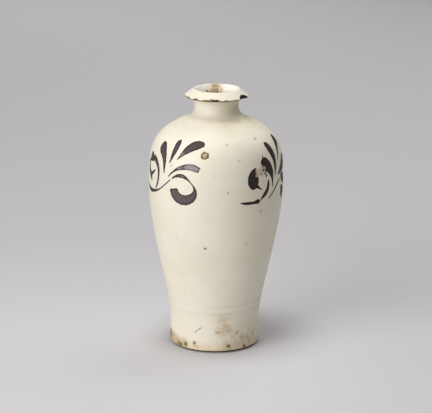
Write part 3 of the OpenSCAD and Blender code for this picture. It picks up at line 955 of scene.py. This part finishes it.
class VASE_OT_foot(bpy.types.Operator):
    """Turns the lower body: a gritty foot ring, and grooves in the base and up the inner wall"""
    bl_idname = "vase.foot"
    bl_label = "Foot"

    def execute(self, context):
        look = settings().clay
        line = fair_line(outline("lower_body"), self.gap)
        form = spun(((line, 1.0),), look.steps)
        form.normal_update()
        tip = max(v.co.z for v in form.verts)
        for v in form.verts:
            radius = v.co.xy.length
            inside = v.normal.xy.dot(v.co.xy) < 0
            under = hump(v.co.z - 4 * MM, 1 * MM) * smooth((RECESS_R - radius) / (2 * MM))
            groove = math.sin(math.tau * radius / (2.3 * MM) + azimuth_of(v.co) * math.pi / 180)
            rise = under * (groove * look.groove_depth + 0.12 * MM * ripple(v.co, 3 * MM))
            if inside and FLOOR_Z < v.co.z < tip - 8 * MM:
                rise += 0.25 * MM * math.sin(math.tau * v.co.z / (9 * MM))
                rise += 0.15 * MM * ripple(v.co, 12 * MM)
            if not inside and v.co.z < 4 * MM and radius > RECESS_R:
                grit = 0.5 + 0.5 * ripple(v.co, 1.2 * MM)
                rise -= 0.12 * MM * grit * smooth(v.co.z / (0.6 * MM))
            v.co += v.normal * rise
        settle(form, "turned_foot", "lower_body", foot_finish())
        return {"FINISHED"}

    def gap(self, place):
        """How far apart the foot's rows are: close at the foot ring"""
        return 0.5 * MM if place.y < 5 * MM else 2.2 * MM


class VASE_OT_clay(bpy.types.Operator):
    """Gives the clay of the shoulder and the neck, and the slip of the seams, their finishes"""
    bl_idname = "vase.clay"
    bl_label = "Clay"

    def execute(self, context):
        look = settings().clay
        clay = clay_finish("stoneware_clay", look.colour)
        slip = clay_finish("lute_clay", look.slip_colour)
        finishes = {"upper_body": clay, "neck_and_lip": clay,
                    "body_seam_lute": slip, "neck_seam_lute": slip}
        for name, finish in finishes.items():
            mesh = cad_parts[name].data
            mesh.materials.clear()
            mesh.materials.append(finish)
        return {"FINISHED"}


# The azimuth of each sprig's root, and the height of all three
SPRIG_TURNS = {"sprig_left": -46, "sprig_right": 64, "sprig_back": 189}
SPRIG_ROOT_Z = 160 * MM
# How far the pigment's underside lies in the glaze, and how far its rim stands out of it
SUNK = 0.12 * MM
RIM = 0.03 * MM
# Where the pigment is pale, on the unrolled skin: across and up from the sprig's root, the radius
# of the place, and how pale it is
PALE_PLACES = {
    "sprig_left": ((24, 11, 11, 1), (30, 11, 9, 0.85), (14, 9.5, 7, 0.75), (14, 21, 8, 0.65),
                   (17, 3, 8, 0.55), (20, 23, 7, 0.4), (10, 0, 90, 0.39)),
    "sprig_right": ((-4, 8, 6, 0.2), (8, 22, 5, 0.2), (-19, -14, 5, 0.3)),
    "sprig_back": ((24, 27, 7, 0.5), (-12, 24, 6, 0.4), (-20, 4, 8, 0.6), (0, 8, 90, 0.36)),
}


class VASE_OT_sprigs(bpy.types.Operator):
    """Brushes the sprigs: thin films of pigment on the glaze, with rough edges"""
    bl_idname = "vase.sprigs"
    bl_label = "Sprigs"

    def execute(self, context):
        pigment = paint_finish()
        for name in SPRIGS:
            self.brush(name, pigment)
        return {"FINISHED"}

    def sheet(self, name):
        """The outer faces of a sprig's strokes, divided finely"""
        form = bmesh.new()
        form.from_mesh(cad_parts[name].data)
        bmesh.ops.remove_doubles(form, verts=form.verts, dist=0.02 * MM)
        form.normal_update()
        hidden = [f for f in form.faces if f.normal.dot(outward(f.calc_center_median())) < 0.5]
        bmesh.ops.delete(form, geom=hidden, context="FACES")
        # Where two strokes meet in a point, each gets a corner of its own
        for v in [v for v in form.verts if sum(e.is_boundary for e in v.link_edges) > 2]:
            open_edges = [e for e in v.link_edges if e.is_boundary]
            for corner in bmesh.utils.vert_separate(v, open_edges):
                middle = sum((f.calc_center_median() for f in corner.link_faces), Vector())
                corner.co = corner.co.lerp(middle / len(corner.link_faces), 0.1)
        cuts = settings().paint.cuts
        bmesh.ops.subdivide_edges(form, edges=form.edges, cuts=cuts, use_grid_fill=True)
        return form

    def brush(self, name, pigment):
        """Makes one sprig: its sheet laid on the glaze, and a film grown outwards from it"""
        look = settings().paint
        form = self.sheet(name)
        rim = [v for v in form.verts if v.is_boundary]
        nearest = kdtree.KDTree(len(rim))
        for i, v in enumerate(rim):
            nearest.insert(v.co, i)
        nearest.balance()
        edge_mark = form.verts.layers.float.new("edge")
        pale_mark = form.verts.layers.float.new("pale")
        for v in form.verts:
            from_edge = nearest.find(v.co)[2]
            fray = hump(from_edge, 1.2 * MM) * 0.22 * MM
            height = v.co.z + fray * ripple(v.co, 1.5 * MM)
            shift = fray * ripple(-v.co, 1.5 * MM) / v.co.xy.length
            azimuth = azimuth_of(v.co) + math.degrees(shift)
            v[edge_mark] = from_edge / MM
            v[pale_mark] = self.paleness(name, azimuth, height)
            v.co = on_wall(azimuth, height, relief(v.co) - SUNK)
        # The film grows outwards from its sunk underside, and thins out at its edges
        film = bmesh.ops.extrude_face_region(form, geom=form.faces[:], use_keep_orig=True)["geom"]
        for v in film:
            if isinstance(v, bmesh.types.BMVert):
                body = look.thickness * smooth(v[edge_mark] / 0.8)
                v.co += outward(v.co) * (SUNK + RIM + body)
        bmesh.ops.recalc_face_normals(form, faces=form.faces)
        settle(form, name.replace("sprig", "brushed_sprig"), name, pigment)

    def paleness(self, name, azimuth, height):
        """How pale the pigment is at a place"""
        across = math.radians(apart(azimuth, SPRIG_TURNS[name])) * BELLY_R
        up = height - SPRIG_ROOT_Z
        return max(pale * hump(math.hypot(across - x * MM, up - y * MM), radius * MM)
                   for x, y, radius, pale in PALE_PLACES[name])


def round_about(azimuth, elevation, distance, centre):
    """A place seen from a centre in a direction: azimuth from the front, and elevation"""
    rise = math.radians(elevation)
    way = facing(azimuth) * math.cos(rise) + Vector((0, 0, math.sin(rise)))
    return Vector(centre) + distance * way


# Each lamp: its power in watts, its width in metres, where it hangs and what it looks at
AIM = (0, 0, 0.12)
LAMPS = (("overhead", 16.2, 0.7, round_about(-50, 82, 2, AIM), AIM),
         ("low_left", 25.5, 1.8, round_about(-45, 8, 2, AIM), AIM),
         ("high_left", 11.5, 1.2, round_about(-45, 30, 2, AIM), AIM),
         ("back_right", 13.4, 1.6, round_about(140, 52, 2, AIM), AIM),
         ("far_floor", 4.3, 1.2, (-0.4, 2.2, 1.6), (-0.4, 2.2, 0)))
# How widely a lamp spreads its light, in degrees, which keeps the far floor's lamp off the vase
SPREADS = {"far_floor": 100}
# The world's soft light, and the grey that the camera sees past the floor
SOFT_LIGHT = (1, 0.97, 0.93)
SOFT_STRENGTH = 0.2
BACKDROP = (0.46, 0.45, 0.465)
# The floor's radius in metres. A pool of painted light is palest here, in front of the vase, and
# fades over so many millimetres.
FLOOR_SIZE = 6
PAINTED_POOL_CENTRE = (-0.066, -0.123, 0)
PAINTED_POOL_FADE = 480
# The camera's lens in millimetres, its tilt down in degrees, its roll in radians and its place
# to the right of the vase's axis
LENS = 156.04
TILT = 15.09
ROLL = 0.0098
CAMERA_RIGHT = 0.325 * MM


class VASE_OT_stage(bpy.types.Operator):
    """Sets the floor, the studio light and the camera"""
    bl_idname = "vase.stage"
    bl_label = "Stage"

    def execute(self, context):
        context.scene.view_settings.view_transform = "Standard"
        self.floor(context.scene)
        self.soft_light(context.scene)
        for lamp in LAMPS:
            self.lamp(context.scene, *lamp)
        self.camera(context.scene)
        return {"FINISHED"}

    def floor(self, scene):
        """A wide round floor, with a pool of painted light that is palest in front of the vase"""
        look = settings().stage
        form = bmesh.new()
        bmesh.ops.create_circle(form, cap_ends=True, segments=64, radius=FLOOR_SIZE)
        mesh = bpy.data.meshes.new("floor")
        form.to_mesh(mesh)
        form.free()
        floor = bpy.data.objects.new("floor", mesh)
        scene.collection.objects.link(floor)
        ground = Finish("studio_floor")
        # Painted light: the floor darkens with distance from the pool's centre
        away = ground.distance(PAINTED_POOL_CENTRE) * (1 / PAINTED_POOL_FADE)
        cloud = ground.grain(160, detail=3) * 0.08
        tone = ground.mix(away + cloud, look.floor_colour, look.far_floor_colour)
        mesh.materials.append(ground.finished(base_color=tone, roughness=0.9))

    def soft_light(self, scene):
        """A world that lights softly, and that the camera sees as a plain grey"""
        scene.world = bpy.data.worlds.new("studio")
        sky = Tree(scene.world)
        seen = sky.node("ShaderNodeLightPath", output="Is Camera Ray")
        soft = sky.node("ShaderNodeBackground", {"Color": SOFT_LIGHT, "Strength": SOFT_STRENGTH})
        plain = sky.node("ShaderNodeBackground", {"Color": BACKDROP})
        either = sky.node("ShaderNodeMixShader", {0: seen, 1: soft, 2: plain})
        sky.node("ShaderNodeOutputWorld", {"Surface": either})

    def lamp(self, scene, name, watts, size, place, aim):
        """A square soft lamp that looks at a point"""
        light = bpy.data.lights.new(name, "AREA")
        light.energy = watts
        light.size = size
        light.spread = math.radians(SPREADS.get(name, 180))
        body = bpy.data.objects.new(name, light)
        body.location = place
        body.rotation_euler = (Vector(aim) - Vector(place)).to_track_quat("-Z", "Y").to_euler()
        scene.collection.objects.link(body)

    def camera(self, scene):
        """The camera, where the photograph was taken from"""
        look = settings().stage
        eye = bpy.data.cameras.new("camera")
        eye.sensor_width = 36
        eye.lens = LENS
        eye.clip_end = 50
        camera = bpy.data.objects.new("camera", eye)
        place = Matrix.Translation((CAMERA_RIGHT, -look.camera_distance, look.camera_height))
        tilt = Matrix.Rotation(math.radians(90 - TILT), 4, "X")
        camera.matrix_world = place @ tilt @ Matrix.Rotation(ROLL, 4, "Z")
        scene.collection.objects.link(camera)
        scene.camera = camera


class VASE_PT_panel(bpy.types.Panel):
    """The vase's steps, in order"""
    bl_label = "Meiping vase"
    bl_space_type = "VIEW_3D"
    bl_region_type = "UI"
    bl_category = "Vase"

    def draw(self, context):
        for step in STEPS:
            self.layout.operator(step.bl_idname)


class VaseFinish(bpy.types.PropertyGroup):
    """All the settings of this vase"""
    glaze: PointerProperty(type=VaseGlazeSettings)
    clay: PointerProperty(type=VaseClaySettings)
    paint: PointerProperty(type=VasePaintSettings)
    stage: PointerProperty(type=VaseStageSettings)


STEPS = (VASE_OT_stage, VASE_OT_clay, VASE_OT_foot, VASE_OT_glaze, VASE_OT_sprigs)
GROUPS = (VaseGlazeSettings, VaseClaySettings, VasePaintSettings, VaseStageSettings, VaseFinish)


def register():
    for kind in GROUPS + STEPS + (VASE_PT_panel,):
        bpy.utils.register_class(kind)
    bpy.types.Scene.vase_finish = PointerProperty(type=VaseFinish)


def unregister():
    del bpy.types.Scene.vase_finish
    for kind in reversed(GROUPS + STEPS + (VASE_PT_panel,)):
        bpy.utils.unregister_class(kind)


def main():
    register()
    for step in STEPS:
        group, name = step.bl_idname.split(".")
        getattr(getattr(bpy.ops, group), name)()


if __name__ == "__main__":
    main()
